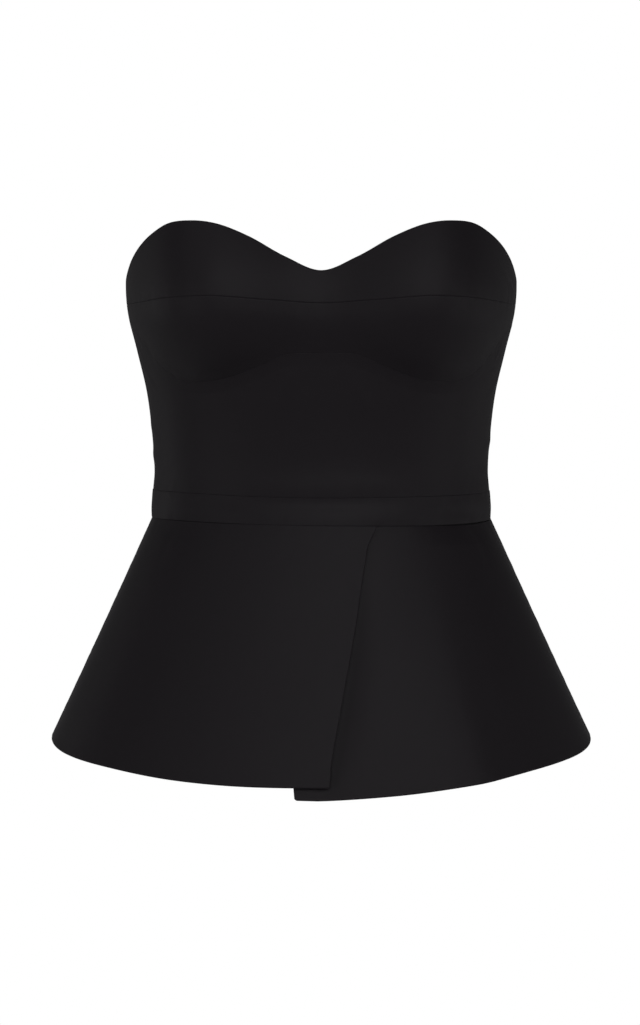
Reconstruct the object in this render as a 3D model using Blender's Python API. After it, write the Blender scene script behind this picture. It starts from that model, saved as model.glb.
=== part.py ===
"""A strapless top with a sweetheart bodice, a waistband and a flared peplum.

The garment is hollow and keeps the shape it has when it is worn. +Z is up, the
front faces -Y, and the origin is in the middle of the waist, level with the
middle of the waistband. Left and right are the wearer's: left is +X.

Every cloth piece is cut as a flat slab and wrapped onto one of two surfaces:
the bodice, which is a stack of rings with two cups raised from it, or the
peplum, which flares from the waist seam to the hem. Angles go round the figure
in degrees: 0 at the centre front, 90 at the wearer's left side, -90 at the
right side, 180 at the centre back. All sizes are in metres.
"""

from collections import namedtuple
from math import asin, cos, degrees, exp, hypot, pi, radians, sin

import bmesh
import bpy
from mathutils import Vector

# Cloth and seams

CLOTH = 0.0020
BAND_CLOTH = 0.0024
PEPLUM_CLOTH = 0.0016
SEAM_GAP = 0.0003

# Waist

BAND_HEIGHT = 0.0203
BAND_TOP = BAND_HEIGHT / 2
BAND_BOTTOM = -BAND_HEIGHT / 2
BAND_RISE = 0.0004
BAND_CROWN = 0.0010

SIDE_SEAM = 92.0
CENTRE_BACK = 180.0

# Bodice: a ring at each height, seen from above. Front and back are the depths
# at the centre lines, and fullness squares off the ring's corners.

Ring = namedtuple("Ring", "height half_width front back front_full back_full")

BODICE_RINGS = [
    Ring(-0.010, 0.1252, 0.0895, 0.0885, 0.12, 0.22),
    Ring(0.010, 0.1243, 0.0890, 0.0870, 0.12, 0.22),
    Ring(0.024, 0.1232, 0.0890, 0.0875, 0.14, 0.22),
    Ring(0.054, 0.1251, 0.0920, 0.0920, 0.18, 0.24),
    Ring(0.083, 0.1288, 0.0970, 0.0980, 0.24, 0.26),
    Ring(0.113, 0.1358, 0.1020, 0.1025, 0.30, 0.28),
    Ring(0.142, 0.1426, 0.1040, 0.1050, 0.34, 0.30),
    Ring(0.160, 0.1440, 0.1040, 0.1060, 0.36, 0.30),
    Ring(0.210, 0.1430, 0.1020, 0.1060, 0.36, 0.30),
]

# Seam lines round the garment, as a height at each angle from the centre front.

Line = namedtuple("Line", "angle height")

NECKLINE = [
    Line(0, 0.1726),
    Line(10, 0.1822),
    Line(21, 0.1968),
    Line(31, 0.2056),
    Line(40, 0.2080),
    Line(50, 0.2060),
    Line(58, 0.1991),
    Line(66, 0.1903),
    Line(73, 0.1812),
    Line(80, 0.1715),
    Line(90, 0.1617),
    Line(115, 0.1550),
    Line(180, 0.1490),
]

CUP_SEAM = [
    Line(0, 0.1492),
    Line(15, 0.1516),
    Line(35, 0.1545),
    Line(50, 0.1530),
    Line(65, 0.1495),
    Line(92, 0.1465),
]

UNDERBUST_SEAM = [
    Line(0, 0.1130),
    Line(10, 0.1126),
    Line(19, 0.1045),
    Line(29, 0.0962),
    Line(41, 0.0925),
    Line(51, 0.0945),
    Line(60, 0.1025),
    Line(66, 0.1130),
    Line(73, 0.1240),
    Line(82, 0.1310),
    Line(92, 0.1335),
]

WAIST_TOP = [Line(0, BAND_TOP), Line(180, BAND_TOP)]
WAIST_BOTTOM = [Line(0, BAND_BOTTOM), Line(180, BAND_BOTTOM)]

HEM = [
    Line(0, -0.1945),
    Line(18, -0.1936),
    Line(30, -0.1911),
    Line(50, -0.1853),
    Line(75, -0.1780),
    Line(90, -0.1732),
    Line(112, -0.1705),
    Line(145, -0.1735),
    Line(180, -0.1770),
]

# The under panel hangs below that hem where the over panel crosses it.

UNDER_HEM = [
    Line(-30, -0.2026),
    Line(-5, -0.2043),
    Line(15, -0.2007),
    Line(30, -0.1948),
    Line(50, -0.1868),
    Line(61, -0.1836),
    Line(70, -0.1808),
    Line(80, -0.1772),
    Line(90, -0.1732),
    Line(112, -0.1705),
]

# Cups

CUP_ANGLE = 40.0
CUP_SPREAD = 52.0
CUP_LIFT = 0.029
CUP_UNDERCURVE = 0.85
CUP_TOP_TURN = 0.06
CUP_TOP_FALL = 0.26

# Peplum: the ring of its hem, and how its flare starts at the waist.

HEM_RING = Ring(-0.173, 0.2000, 0.1320, 0.1480, 0.24, 0.22)
FLARE_START = 0.98

# Front edges of the two front panels, as an angle at each share of the way
# from the waist seam to the hem.

Edge = namedtuple("Edge", "share angle")

OVER_EDGE = [
    Edge(0.0, 18.4),
    Edge(0.065, 15.3),
    Edge(0.15, 13.3),
    Edge(0.40, 9.0),
    Edge(0.70, 4.6),
    Edge(1.0, 1.8),
]

UNDER_EDGE = [
    Edge(0.0, -25.0),
    Edge(0.065, -22.0),
    Edge(0.15, -20.0),
    Edge(0.40, -14.6),
    Edge(0.70, -9.0),
    Edge(1.0, -5.6),
]

# Where the fronts overlap, the over panel stands off and the under panel sinks.

OVERLAP_STEP = 0.0011
OVERLAP_LIFT = 0.0034
OVERLAP_RAMP = 30.0

# Soft folds of the peplum. Each one rises with the distance below the waist,
# and spreads over its own number of degrees before its ridge and after it.

Fold = namedtuple("Fold", "angle before after rise")

FOLDS = [
    Fold(33, 20, 8, 0.0050),
    Fold(60, 13, 14, -0.0034),
    Fold(-48, 20, 20, -0.0030),
    Fold(122, 18, 18, 0.0040),
    Fold(150, 16, 16, -0.0045),
    Fold(-118, 18, 18, 0.0036),
    Fold(-147, 17, 17, -0.0042),
]
FOLD_GROWTH = 1.5

# Zip at the centre back

ZIP_BELOW_EDGE = 0.004
ZIP_FOOT = -0.070
TAPE_WIDTH = 0.024
TAPE_CLOTH = 0.0008
TAPE_ROWS_ABOVE_WAIST = 16
TAPE_ROWS_BELOW_WAIST = 6

SLIDER_WIDTH = 0.0064
SLIDER_LENGTH = 0.0095
SLIDER_DEPTH = 0.0018
SLIDER_CORNER = 0.0020
SLIDER_DROP = 0.010
BRIDGE_WIDTH = 0.0014
BRIDGE_THICK = 0.0010
BRIDGE_SPAN = 0.0058
BRIDGE_CLEAR = 0.0020
BRIDGE_ROOT = 0.0005

PULL_LENGTH = 0.020
PULL_WIDTH = 0.0062
PULL_NECK = 0.0050
PULL_THICK = 0.0009
PULL_BAR = 0.0010
PULL_EYE_WIDTH = 0.0026
PULL_EYE_LENGTH = 0.0040
ARC_STEPS = 8

# Colour, roughness and metallic value of each material

Finish = namedtuple("Finish", "colour roughness metallic")

CREPE = Finish((0.0105, 0.0098, 0.0105), 0.62, 0.0)
TAPE = Finish((0.012, 0.012, 0.013), 0.75, 0.0)
ENAMEL = Finish((0.014, 0.014, 0.015), 0.32, 0.6)


def smooth(rows, at):
    """The value at one place of the smooth curve through a table's two columns."""
    places = [row[0] for row in rows]
    values = [row[1] for row in rows]
    at = min(max(at, places[0]), places[-1])
    last = len(rows) - 1
    left = max(i for i in range(last) if places[i] <= at)

    def slope(i):
        if i in (0, last):
            return 0.0
        room_before = places[i] - places[i - 1]
        room_after = places[i + 1] - places[i]
        before = (values[i] - values[i - 1]) / room_before
        after = (values[i + 1] - values[i]) / room_after
        if before * after <= 0:
            return 0.0
        return (before * room_after + after * room_before) / (room_before + room_after)

    room = places[left + 1] - places[left]
    t = (at - places[left]) / room
    return (
        values[left] * (1 + 2 * t) * (1 - t) ** 2
        + values[left + 1] * t * t * (3 - 2 * t)
        + slope(left) * room * t * (1 - t) ** 2
        + slope(left + 1) * room * t * t * (t - 1)
    )


def ease(t):
    """0 below 0, 1 above 1, and a smooth step between them."""
    t = min(max(t, 0.0), 1.0)
    return t * t * (3 - 2 * t)


def height_of(line, angle):
    """A seam line's height. Most lines are the same on both sides of the figure."""
    return smooth(line, angle if line is UNDER_HEM else abs(angle))


def bodice_ring(height):
    """The bodice's ring at any height."""
    columns = zip(*BODICE_RINGS)
    heights = next(columns)
    return Ring(height, *(smooth(list(zip(heights, column)), height) for column in columns))


def ring_point(ring, angle):
    """A point of a ring: an ellipse with its own front and back depth, squared off."""
    across, ahead = sin(radians(angle)), cos(radians(angle))
    if ahead > 0:
        depth = ring.front * (1 + ring.front_full * across * across)
    else:
        depth = ring.back * (1 + ring.back_full * across * across)
    return Vector((ring.half_width * across, -depth * ahead, ring.height))


def cup_lift(angle, height):
    """How far the cups stand forward of the bodice's ring."""
    spread = sum(
        cos(pi / 2 * (angle - side * CUP_ANGLE) / CUP_SPREAD) ** 2
        for side in (-1, 1)
        if abs(angle - side * CUP_ANGLE) < CUP_SPREAD
    )
    under = height_of(UNDERBUST_SEAM, angle)
    seam = height_of(CUP_SEAM, angle)
    if height <= under:
        return 0.0
    if height <= seam:
        rise = sin(pi / 2 * (height - under) / (seam - under)) ** CUP_UNDERCURVE
    else:
        above = (height - seam) / (height_of(NECKLINE, angle) - seam)
        rise = 1 - CUP_TOP_TURN * above - CUP_TOP_FALL * above * above
    return CUP_LIFT * spread * rise


def bodice_point(angle, height):
    """The outer face of the bodice."""
    point = ring_point(bodice_ring(height), angle)
    point.y -= cup_lift(angle, height)
    return point


def peplum_point(angle, height):
    """The outer face of the peplum."""
    share = (BAND_BOTTOM - height) / (BAND_BOTTOM - height_of(HEM, angle))
    flare = share * (FLARE_START + (1 - FLARE_START) * share)
    point = ring_point(BODICE_RINGS[0], angle).lerp(ring_point(HEM_RING, angle), flare)
    point.z = height
    out = Vector((sin(radians(angle)), -cos(radians(angle)), 0))
    for fold in FOLDS:
        turn = (angle - fold.angle + 180) % 360 - 180
        spread = fold.before if turn < 0 else fold.after
        swell = fold.rise * exp(-((turn / spread) ** 2))
        point += out * swell * max(share, 0) ** FOLD_GROWTH
    return point


def garment_point(angle, height):
    """The outer face anywhere, on the bodice or below it on the peplum."""
    surface = bodice_point if height >= BAND_BOTTOM else peplum_point
    return surface(angle, height)


def outward(surface, angle, height, turn=1.0, step=0.003):
    """The direction straight out of a surface."""
    along = surface(angle + turn, height) - surface(angle - turn, height)
    up = surface(angle, height + step) - surface(angle, height - step)
    return along.cross(up).normalized()


def half_gap(surface, line, angle, turn=1.0):
    """Half a seam gap, measured up a column where the seam line slopes."""
    ahead = surface(angle + turn, height_of(line, angle + turn))
    behind = surface(angle - turn, height_of(line, angle - turn))
    run = hypot(ahead.x - behind.x, ahead.y - behind.y)
    return SEAM_GAP / 2 * hypot(1, (ahead.z - behind.z) / run)


def give_finish(piece, finish):
    """Gives a piece its own material with the finish's values."""
    material = bpy.data.materials.new(piece.name)
    material.use_nodes = True
    shader = material.node_tree.nodes["Principled BSDF"]
    shader.inputs["Base Color"].default_value = (*finish.colour, 1)
    shader.inputs["Roughness"].default_value = finish.roughness
    shader.inputs["Metallic"].default_value = finish.metallic
    piece.data.materials.append(material)


def add_piece(name, bm, finish):
    """Links a finished mesh to the scene as one named piece, with its faces pointing out."""
    bmesh.ops.recalc_face_normals(bm, faces=bm.faces)
    if bm.calc_volume(signed=True) < 0:
        bmesh.ops.reverse_faces(bm, faces=bm.faces)
    mesh = bpy.data.meshes.new(name)
    bm.to_mesh(mesh)
    bm.free()
    mesh.shade_smooth()
    mesh.set_sharp_from_angle(angle=radians(40))
    piece = bpy.data.objects.new(name, mesh)
    bpy.context.scene.collection.objects.link(piece)
    give_finish(piece, finish)
    return piece


def wrap_cloth(name, surface, place, columns, rows, thick, stand_off=None, finish=CREPE):
    """A flat slab of cloth wrapped onto a surface.

    place(across, down) gives the angle and height of each point of the slab,
    from its own corner to corner. stand_off(angle, down), if it is given, says
    how far the cloth's outer face stands off the surface.
    """
    bm = bmesh.new()
    bmesh.ops.create_grid(bm, x_segments=columns, y_segments=rows, size=0.5)
    made = bmesh.ops.extrude_face_region(bm, geom=bm.faces[:])
    inner = {part for part in made["geom"] if isinstance(part, bmesh.types.BMVert)}
    for vert in bm.verts:
        down = 0.5 - vert.co.y
        angle, height = place(vert.co.x + 0.5, down)
        normal = outward(surface, angle, height)
        co = surface(angle, height)
        if stand_off:
            co += Vector((normal.x, normal.y, 0)).normalized() * stand_off(angle, down)
        if vert in inner:
            co -= normal * thick
        vert.co = co
    return add_piece(name, bm, finish)


def between(surface, top, bottom, start, end):
    """Places a slab between two seam lines and two upright edges, less half a seam gap."""
    turn = degrees(SEAM_GAP / 2 / BODICE_RINGS[0].front)

    def place(across, down):
        first = (smooth(start, down) if isinstance(start, list) else start) + turn
        last = (smooth(end, down) if isinstance(end, list) else end) - turn
        angle = first + (last - first) * across
        high = height_of(top, angle) - half_gap(surface, top, angle)
        low = height_of(bottom, angle) + half_gap(surface, bottom, angle)
        return angle, high + (low - high) * down

    return place


def build_bodice():
    """The three front pieces and the two back ones."""
    fronts = [
        ("upper_bust", NECKLINE, CUP_SEAM, 56, 7),
        ("lower_cups", CUP_SEAM, UNDERBUST_SEAM, 56, 7),
        ("midriff", UNDERBUST_SEAM, WAIST_TOP, 44, 5),
    ]
    for name, top, bottom, columns, rows in fronts:
        place = between(bodice_point, top, bottom, -SIDE_SEAM, SIDE_SEAM)
        wrap_cloth(name, bodice_point, place, columns, rows, CLOTH)
    left = between(bodice_point, NECKLINE, WAIST_TOP, SIDE_SEAM, CENTRE_BACK)
    right = between(bodice_point, NECKLINE, WAIST_TOP, -CENTRE_BACK, -SIDE_SEAM)
    wrap_cloth("bodice_back_left", bodice_point, left, 16, 8, CLOTH)
    wrap_cloth("bodice_back_right", bodice_point, right, 16, 8, CLOTH)


def build_waistband():
    """The waistband, which stands a little proud and is crowned across its width."""

    def crown(angle, down):
        return BAND_RISE + BAND_CROWN * sin(pi * down)

    spans = [
        ("waistband_front", -SIDE_SEAM, SIDE_SEAM, 40),
        ("waistband_back_left", SIDE_SEAM, CENTRE_BACK, 16),
        ("waistband_back_right", -CENTRE_BACK, -SIDE_SEAM, 16),
    ]
    for name, start, end, columns in spans:
        place = between(bodice_point, WAIST_TOP, WAIST_BOTTOM, start, end)
        wrap_cloth(name, bodice_point, place, columns, 2, BAND_CLOTH, crown)


def over_stand_off(angle, down):
    """The over panel lies on the under panel, and hangs further off it towards the hem."""
    on = ease(1 + (angle - UNDER_EDGE[0].angle) / OVERLAP_RAMP)
    return on * (OVERLAP_STEP + OVERLAP_LIFT * down)


def under_stand_off(angle, down):
    """The under panel sinks in beneath the over panel."""
    return -OVERLAP_STEP * ease(1 + (OVER_EDGE[0].angle - angle) / OVERLAP_RAMP)


def build_peplum():
    """The peplum's two overlapping fronts and its two backs."""
    panels = [
        ("peplum_over", -SIDE_SEAM, OVER_EDGE, HEM, 32, over_stand_off),
        ("peplum_under", UNDER_EDGE, SIDE_SEAM, UNDER_HEM, 32, under_stand_off),
        ("peplum_back_left", SIDE_SEAM, CENTRE_BACK, HEM, 22, None),
        ("peplum_back_right", -CENTRE_BACK, -SIDE_SEAM, HEM, 22, None),
    ]
    for name, start, end, hem, columns, stand_off in panels:
        place = between(peplum_point, WAIST_BOTTOM, hem, start, end)
        wrap_cloth(name, peplum_point, place, columns, 8, PEPLUM_CLOTH, stand_off)


def build_zip_tape():
    """The zip's tape, behind the centre-back seam, with a row of points on the waist seam."""
    top = NECKLINE[-1].height - ZIP_BELOW_EDGE
    half_turn = degrees(asin(TAPE_WIDTH / 2 / BODICE_RINGS[0].half_width))
    rows = TAPE_ROWS_ABOVE_WAIST + TAPE_ROWS_BELOW_WAIST
    waist = TAPE_ROWS_ABOVE_WAIST / rows

    def place(across, down):
        if down < waist:
            height = top + (BAND_BOTTOM - top) * down / waist
        else:
            height = BAND_BOTTOM + (ZIP_FOOT - BAND_BOTTOM) * (down - waist) / (1 - waist)
        return CENTRE_BACK + half_turn * (2 * across - 1), height

    def behind_seam(angle, down):
        return -(CLOTH + SEAM_GAP)

    wrap_cloth("zip_tape", garment_point, place, 2, rows, TAPE_CLOTH, behind_seam, TAPE)


def arc(centre, radius, start, end):
    """Points along an arc, from one angle to another in degrees."""
    for step in range(ARC_STEPS + 1):
        turn = radians(start + (end - start) * step / ARC_STEPS)
        yield centre[0] + radius * cos(turn), centre[1] + radius * sin(turn)


def plate(loops, low, high):
    """A flat plate with the first loop as its outline and the others as holes."""
    bm = bmesh.new()
    edges = []
    for loop in loops:
        verts = [bm.verts.new((x, y, low)) for x, y in loop]
        edges += [bm.edges.new((verts[i - 1], verts[i])) for i in range(len(verts))]
    bmesh.ops.triangle_fill(bm, use_beauty=True, edges=edges)
    made = bmesh.ops.extrude_face_region(bm, geom=bm.faces[:])
    raised = [part for part in made["geom"] if isinstance(part, bmesh.types.BMVert)]
    bmesh.ops.translate(bm, vec=Vector((0, 0, high - low)), verts=raised)
    return bm


def slider_outline():
    """A rectangle with round corners."""
    x, y = SLIDER_WIDTH / 2 - SLIDER_CORNER, SLIDER_LENGTH / 2 - SLIDER_CORNER
    corners = [(x, y, 0), (-x, y, 90), (-x, -y, 180), (x, -y, 270)]
    return [
        point
        for cx, cy, start in corners
        for point in arc((cx, cy), SLIDER_CORNER, start, start + 90)
    ]


def bridge_outline():
    """The bridge from the side: a staple with its feet sunk into the slider."""
    outer, inner = BRIDGE_SPAN / 2, BRIDGE_SPAN / 2 - BRIDGE_THICK
    foot = SLIDER_DEPTH - BRIDGE_ROOT
    under = SLIDER_DEPTH + BRIDGE_CLEAR
    top = under + BRIDGE_THICK
    right = [(inner, foot), (outer, foot), (outer, top)]
    left = [(-x, y) for x, y in reversed(right)]
    return right + left + [(-inner, under), (inner, under)]


def pull_outline():
    """The pull's outline: straight beside its eye, then wider to a round end."""
    centre = -(PULL_LENGTH - PULL_WIDTH / 2)
    right = []
    for step in range(ARC_STEPS):
        share = step / ARC_STEPS
        half = (PULL_NECK + (PULL_WIDTH - PULL_NECK) * ease(share)) / 2
        right.append((half, PULL_BAR / 2 + (centre - PULL_BAR / 2) * share))
    left = [(-x, y) for x, y in reversed(right)]
    return right + list(arc((0, centre), PULL_WIDTH / 2, 0, -180)) + left


def join_bridge(slider):
    """Joins the bridge to the slider, turned to run along the zip."""
    staple = plate([bridge_outline()], -BRIDGE_WIDTH / 2, BRIDGE_WIDTH / 2)
    bridge = add_piece("bridge_guide", staple, ENAMEL)
    bridge.parent = slider
    bridge.rotation_euler = (pi / 2, 0, pi / 2)
    bridge.hide_render = True
    bridge.display_type = "WIRE"
    union = slider.modifiers.new("bridge", "BOOLEAN")
    union.operation = "UNION"
    union.object = bridge


def build_slider_and_pull():
    """The slider at the top of the zip, and its pull hanging from the bridge."""
    height = NECKLINE[-1].height - SLIDER_DROP
    lift = SEAM_GAP + max(
        bodice_point(CENTRE_BACK, height + end * SLIDER_LENGTH / 2).y for end in (-1, 1)
    )
    facing_back = (pi / 2, 0, pi)

    slider = add_piece("zip_slider", plate([slider_outline()], 0, SLIDER_DEPTH), ENAMEL)
    slider.location = (0, lift, height)
    slider.rotation_euler = facing_back
    join_bridge(slider)

    pull_eye = [
        (side * PULL_EYE_WIDTH / 2, -PULL_BAR / 2 - drop)
        for side, drop in ((-1, 0), (1, 0), (1, PULL_EYE_LENGTH), (-1, PULL_EYE_LENGTH))
    ]
    tab = plate([pull_outline(), pull_eye], -PULL_THICK / 2, PULL_THICK / 2)
    pull = add_piece("zip_pull", tab, ENAMEL)
    pull.location = (0, lift + SLIDER_DEPTH + BRIDGE_CLEAR / 2, height)
    pull.rotation_euler = facing_back


def clear_scene():
    """Removes what the startup scene holds."""
    for item in list(bpy.data.objects):
        bpy.data.objects.remove(item)


def main():
    clear_scene()
    build_bodice()
    build_waistband()
    build_peplum()
    build_zip_tape()
    build_slider_and_pull()


main()
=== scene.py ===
from math import asin, cos, degrees, pi, radians, sin

import bmesh
import bpy
import numpy as np
from mathutils import Euler, Matrix, Vector


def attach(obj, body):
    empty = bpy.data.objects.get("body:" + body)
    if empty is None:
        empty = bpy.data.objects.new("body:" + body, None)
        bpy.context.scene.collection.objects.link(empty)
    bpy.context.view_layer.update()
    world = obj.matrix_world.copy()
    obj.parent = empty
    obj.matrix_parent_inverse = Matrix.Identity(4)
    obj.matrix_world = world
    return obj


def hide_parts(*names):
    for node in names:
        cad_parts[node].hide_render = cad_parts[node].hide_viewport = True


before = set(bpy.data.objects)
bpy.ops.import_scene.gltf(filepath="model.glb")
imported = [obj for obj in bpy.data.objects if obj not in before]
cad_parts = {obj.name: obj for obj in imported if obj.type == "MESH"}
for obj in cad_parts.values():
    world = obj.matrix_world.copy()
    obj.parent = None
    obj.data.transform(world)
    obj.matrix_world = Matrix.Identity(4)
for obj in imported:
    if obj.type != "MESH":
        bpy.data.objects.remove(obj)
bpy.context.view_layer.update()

# A strapless top with a peplum, in black stretch crepe. Sizes are in metres and
# angles in degrees round the figure: 0 is the centre front, 90 the wearer's left
# side, 180 the centre back. The front faces -Y.

clothBody = "garment"
sideSeam = 92.0
centreBack = 180.0

# The bodice is a stack of rings seen from above, and the seam lines run round it.
# A seam line is the same on both sides unless it is oneSided.

bodiceRings = {
    "height":    [-0.010, 0.010, 0.024, 0.054, 0.083, 0.113, 0.142, 0.160, 0.210],
    "halfWidth": [0.1252, 0.1243, 0.1232, 0.1251, 0.1288, 0.1358, 0.1426, 0.1440, 0.1430],
    "front":     [0.0895, 0.0890, 0.0890, 0.0920, 0.0970, 0.1020, 0.1040, 0.1040, 0.1020],
    "back":      [0.0885, 0.0870, 0.0875, 0.0920, 0.0980, 0.1025, 0.1050, 0.1060, 0.1060],
    "frontFull": [0.12, 0.12, 0.14, 0.18, 0.24, 0.30, 0.34, 0.36, 0.36],
    "backFull":  [0.22, 0.22, 0.22, 0.24, 0.26, 0.28, 0.30, 0.30, 0.30],
}
hemRing = {
    "halfWidth": 0.2000, "front": 0.1320, "back": 0.1480, "frontFull": 0.24, "backFull": 0.22,
}

neckline = {
    "angle":  [0, 10, 21, 31, 40, 50, 58, 66, 73, 80, 90, 115, 180],
    "height": [0.1726, 0.1822, 0.1968, 0.2056, 0.2080, 0.2060, 0.1991,
               0.1903, 0.1812, 0.1715, 0.1617, 0.1550, 0.1490],
}
cupSeam = {
    "angle":  [0, 15, 35, 50, 65, 92],
    "height": [0.1492, 0.1516, 0.1545, 0.1530, 0.1495, 0.1465],
}
underbustSeam = {
    "angle":  [0, 10, 19, 29, 41, 51, 60, 66, 73, 82, 92],
    "height": [0.1130, 0.1126, 0.1045, 0.0962, 0.0925, 0.0945,
               0.1025, 0.1130, 0.1240, 0.1310, 0.1335],
}
waistTop = {
    "angle":  [-180, -92, -58, 0, 58, 92, 180],
    "height": [0.01015, 0.01100, 0.01130, 0.00880, 0.00950, 0.00980, 0.01015],
    "oneSided": True,
}
waistBottom = {
    "angle":  [-180, -92, -58, 0, 58, 92, 180],
    "height": [-0.01015, -0.00960, -0.00920, -0.01080, -0.01190, -0.01110, -0.01015],
    "oneSided": True,
}
peplumTop = waistBottom["height"][0]
hem = {
    "angle":  [0, 18, 30, 50, 75, 90, 112, 145, 180],
    "height": [-0.1945, -0.1936, -0.1911, -0.1853, -0.1780, -0.1732, -0.1705, -0.1735, -0.1770],
}
underHem = {
    "angle":  [-30, -5, 15, 30, 50, 61, 70, 80, 90, 112],
    "height": [-0.2026, -0.2043, -0.2007, -0.1948, -0.1868,
               -0.1836, -0.1808, -0.1772, -0.1732, -0.1705],
    "oneSided": True,
}

# Front edges of the two peplum fronts, at shares of the way down from the waist.

overEdge = {
    "share": [0.0, 0.065, 0.15, 0.40, 0.70, 1.0],
    "angle": [18.4, 15.3, 13.3, 9.0, 4.6, 1.8],
}
underEdge = {
    "share": [0.0, 0.065, 0.15, 0.40, 0.70, 1.0],
    "angle": [-25.0, -22.0, -20.0, -14.6, -9.0, -5.6],
}

# The cups lift the front of the bodice. The blend is over heights, where they run
# into the midriff.

cups = {
    "angle": 40.0, "spread": 52.0, "lift": 0.029,
    "underCurve": 0.85, "topTurn": 0.06, "topFall": 0.26,
    "blendPlaces": [-0.007, -0.0035, 0, 0.0035, 0.007],
    "blendShares": [0.12, 0.22, 0.32, 0.22, 0.12],
}

flare = {
    "start": 0.98,  # how straight the peplum leaves the waist
    "growth": 1.5,
}

# Soft folds of the peplum: how far in degrees each spreads before and after its ridge,
# and its rise at the hem.

folds = {
    "angle":  [33, 60, -48, 122, 150, -118, -147],
    "before": [20, 13, 20, 18, 16, 18, 17],
    "after":  [8, 14, 20, 18, 16, 18, 17],
    "rise":   [0.0050, -0.0034, -0.0030, 0.0040, -0.0045, 0.0036, -0.0042],
}


def smoothCurve(places, values, at):  # a curve through the points, level at both ends
    places, values = np.array(places, float), np.array(values, float)
    at = np.clip(at, places[0], places[-1])
    room = np.diff(places)
    rise = np.diff(values) / room
    slope = np.zeros(len(places))
    bend = (rise[:-1] * room[1:] + rise[1:] * room[:-1]) / (room[:-1] + room[1:])
    slope[1:-1] = np.where(rise[:-1] * rise[1:] > 0, bend, 0)
    left = np.clip(np.searchsorted(places, at, side="right") - 1, 0, len(room) - 1)
    t = (at - places[left]) / room[left]
    return (
        values[left] * (1 + 2 * t) * (1 - t) ** 2
        + values[left + 1] * t * t * (3 - 2 * t)
        + slope[left] * room[left] * t * (1 - t) ** 2
        + slope[left + 1] * room[left] * t * t * (t - 1)
    )


def ease(t):
    t = np.clip(t, 0, 1)
    return t * t * (3 - 2 * t)


def heightOf(line, angle):
    place = angle if line.get("oneSided") else np.abs(angle)
    return smoothCurve(line["angle"], line["height"], place)


def ringPoint(ring, angle, height):
    across, ahead = np.sin(np.radians(angle)), np.cos(np.radians(angle))
    front = ring["front"] * (1 + ring["frontFull"] * across**2)
    back = ring["back"] * (1 + ring["backFull"] * across**2)
    depth = np.where(ahead > 0, front, back)
    return np.stack([ring["halfWidth"] * across, -depth * ahead, height], axis=-1)


def ringAt(height):
    columns = [name for name in bodiceRings if name != "height"]
    return {name: smoothCurve(bodiceRings["height"], bodiceRings[name], height) for name in columns}


def cupLift(angle, height):
    spread = 0
    for side in (-1, 1):
        turn = np.clip((angle - side * cups["angle"]) / cups["spread"], -1, 1)
        spread = spread + np.cos(pi / 2 * turn) ** 2
    under, seam = heightOf(underbustSeam, angle), heightOf(cupSeam, angle)
    below = np.sin(pi / 2 * np.clip((height - under) / (seam - under), 0, 1)) ** cups["underCurve"]
    above = np.maximum((height - seam) / (heightOf(neckline, angle) - seam), 0)
    return cups["lift"] * spread * (below - cups["topTurn"] * above - cups["topFall"] * above**2)


def bodiceSurface(angle, height):
    point = ringPoint(ringAt(height), angle, height)
    for place, share in zip(cups["blendPlaces"], cups["blendShares"]):
        point[..., 1] -= share * cupLift(angle, height + place)
    return point


def peplumSurface(angle, height):
    share = (peplumTop - height) / (peplumTop - heightOf(hem, angle))
    out = (share * (flare["start"] + (1 - flare["start"]) * share))[..., None]
    top = ringPoint(ringAt(np.full_like(height, bodiceRings["height"][0])), angle, height)
    point = top * (1 - out) + ringPoint(hemRing, angle, height) * out
    swell = 0
    for place, before, after, rise in zip(*folds.values()):
        turn = (angle - place + 180) % 360 - 180
        swell = swell + rise * np.exp(-((turn / np.where(turn < 0, before, after)) ** 2))
    swell = swell * np.maximum(share, 0) ** flare["growth"]
    point[..., 0] += swell * np.sin(np.radians(angle))
    point[..., 1] -= swell * np.cos(np.radians(angle))
    return point


def garmentSurface(angle, height):
    onBodice = (height >= peplumTop)[..., None]
    return np.where(onBodice, bodiceSurface(angle, height), peplumSurface(angle, height))


def unit(vectors):
    return vectors / np.linalg.norm(vectors, axis=-1, keepdims=True)


def outward(surface, angle, height, turn=1.0, step=0.003):
    along = surface(angle + turn, height) - surface(angle - turn, height)
    up = surface(angle, height + step) - surface(angle, height - step)
    return unit(np.cross(along, up))


# Creases worn into the cloth, each with its angle, height, lean in degrees, length,
# width, rise and bow. They are measured on a round figure of one radius.

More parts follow.
